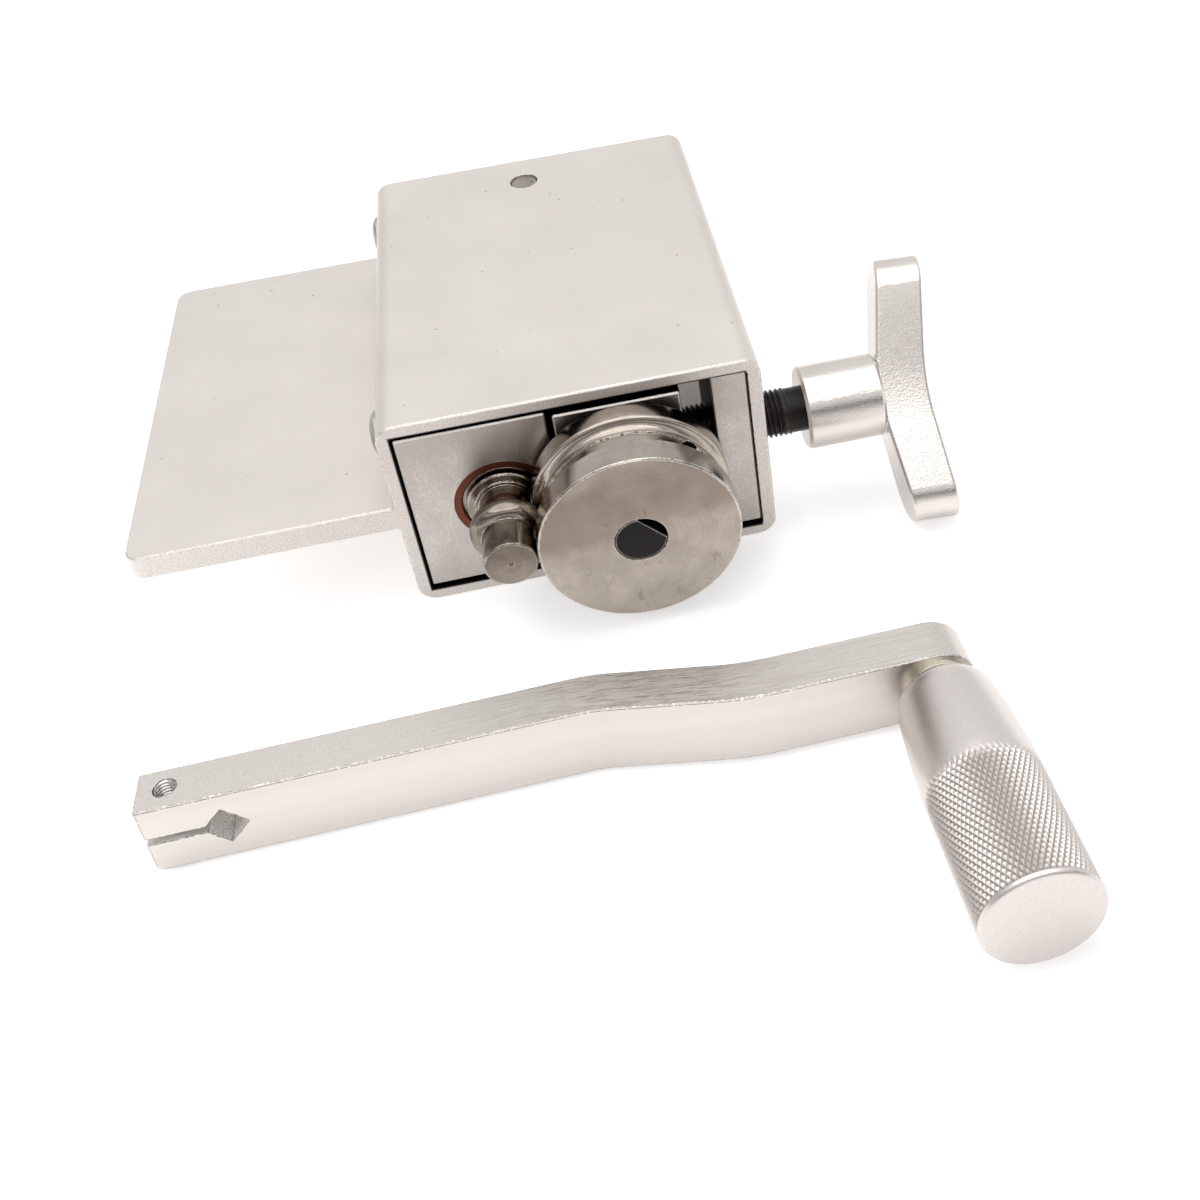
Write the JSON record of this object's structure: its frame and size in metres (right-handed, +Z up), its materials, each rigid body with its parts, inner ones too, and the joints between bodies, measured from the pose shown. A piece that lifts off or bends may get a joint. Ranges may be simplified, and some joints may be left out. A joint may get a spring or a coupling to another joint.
{
  "type": "bead roller",
  "caption": "Hand cranked bench bead roller: tube housing with vise flange, bead and groove dies, T-handled clamp screw, and a detached crank with a knurled grip.",
  "frame": {"origin": "middle of the housing's flat underside", "axes": "+X to the right towards the T-handle, +Y back along the die spindles towards the crank end, +Z up"},
  "size_m": [0.2004, 0.2564, 0.0547],
  "materials": {
    "housing": "bead-blasted, matt",
    "block": "milled and brushed",
    "die_steel": "turned, fine scratches",
    "black_steel": "black oxide",
    "pin_steel": "ground",
    "spring_steel": "phosphated",
    "screw_silver": "zinc plated",
    "bronze": "sintered bronze",
    "blasted_aluminium": "coarse blasted, satin",
    "milled_aluminium": "milled, lengthwise tool marks",
    "knurled_aluminium": "satin with diamond knurl"
  },
  "bodies": {
    "frame": {"housing": "housing", "fixed_block": "block", "fixed_block_screws": "screw_silver", "idler_front_bush": "bronze", "idler_rear_bush": "bronze", "idler_thrust_washer": "bronze", "nut_block": "block", "nut_block_screws": "screw_silver", "pivot_pin_upper": "pin_steel", "pivot_pin_lower": "pin_steel", "pivot_washer": "bronze"},
    "swing_head": {"swing_block": "block", "drive_front_bush": "bronze", "drive_rear_bush": "bronze"},
    "drive_spindle": {"drive_shaft": "black_steel", "grooved_die": "die_steel", "die_set_screw": "black_steel", "drive_retaining_ring": "spring_steel"},
    "idler_spindle": {"bead_die_shaft": "die_steel", "idler_retaining_ring": "spring_steel"},
    "clamp_pad": {"thrust_pad": "pin_steel"},
    "clamp_spindle": {"clamp_screw": "black_steel", "t_handle": "blasted_aluminium", "t_handle_set_screw": "black_steel"},
    "crank": {"crank_arm": "milled_aluminium", "crank_clamp_screw": "screw_silver", "grip_spindle": "pin_steel", "spindle_screw": "screw_silver"},
    "grip": {"crank_grip": "knurled_aluminium", "grip_bush": "bronze"}
  },
  "joints": [
    {"name": "swing_pivot", "type": "hinge", "parent": "frame", "child": "swing_head", "pos_m": [-0.0023, 0.04475, 0.0268], "axis": [0, 0, 1], "range_deg": [0, 2.39]},
    {"name": "drive_spin", "type": "hinge", "parent": "swing_head", "child": "drive_spindle", "pos_m": [0.0104, 0, 0.0268], "axis": [0, 1, 0], "continuous": true},
    {"name": "idler_spin", "type": "hinge", "parent": "frame", "child": "idler_spindle", "pos_m": [-0.0195, 0, 0.0268], "axis": [0, 1, 0], "continuous": true},
    {"name": "clamp_slide", "type": "slide", "parent": "frame", "child": "clamp_pad", "axis": [1, 0, 0], "range_m": [0, 0.00376]},
    {"name": "clamp_turn", "type": "hinge", "parent": "clamp_pad", "child": "clamp_spindle", "pos_m": [0.045, -0.04445, 0.0268], "axis": [1, 0, 0], "range_deg": [0, 1080]},
    {"name": "crank_lift_off", "type": "slide", "parent": "frame", "child": "crank", "axis": [0, 0, 1], "range_m": [0, 0.12]},
    {"name": "grip_spin", "type": "hinge", "parent": "crank", "child": "grip", "pos_m": [0.06609, -0.12446, 0.01053], "axis": [0.02, -0.9972, 0.0715], "continuous": true}
  ],
  "couplings": [
    {"joint": "clamp_slide", "follows": "clamp_turn", "m_per_rad": 0.00019894},
    {"joint": "swing_pivot", "follows": "clamp_turn", "ratio": 0.0022056},
    {"joint": "idler_spin", "follows": "drive_spin", "ratio": -3.768}
  ]
}
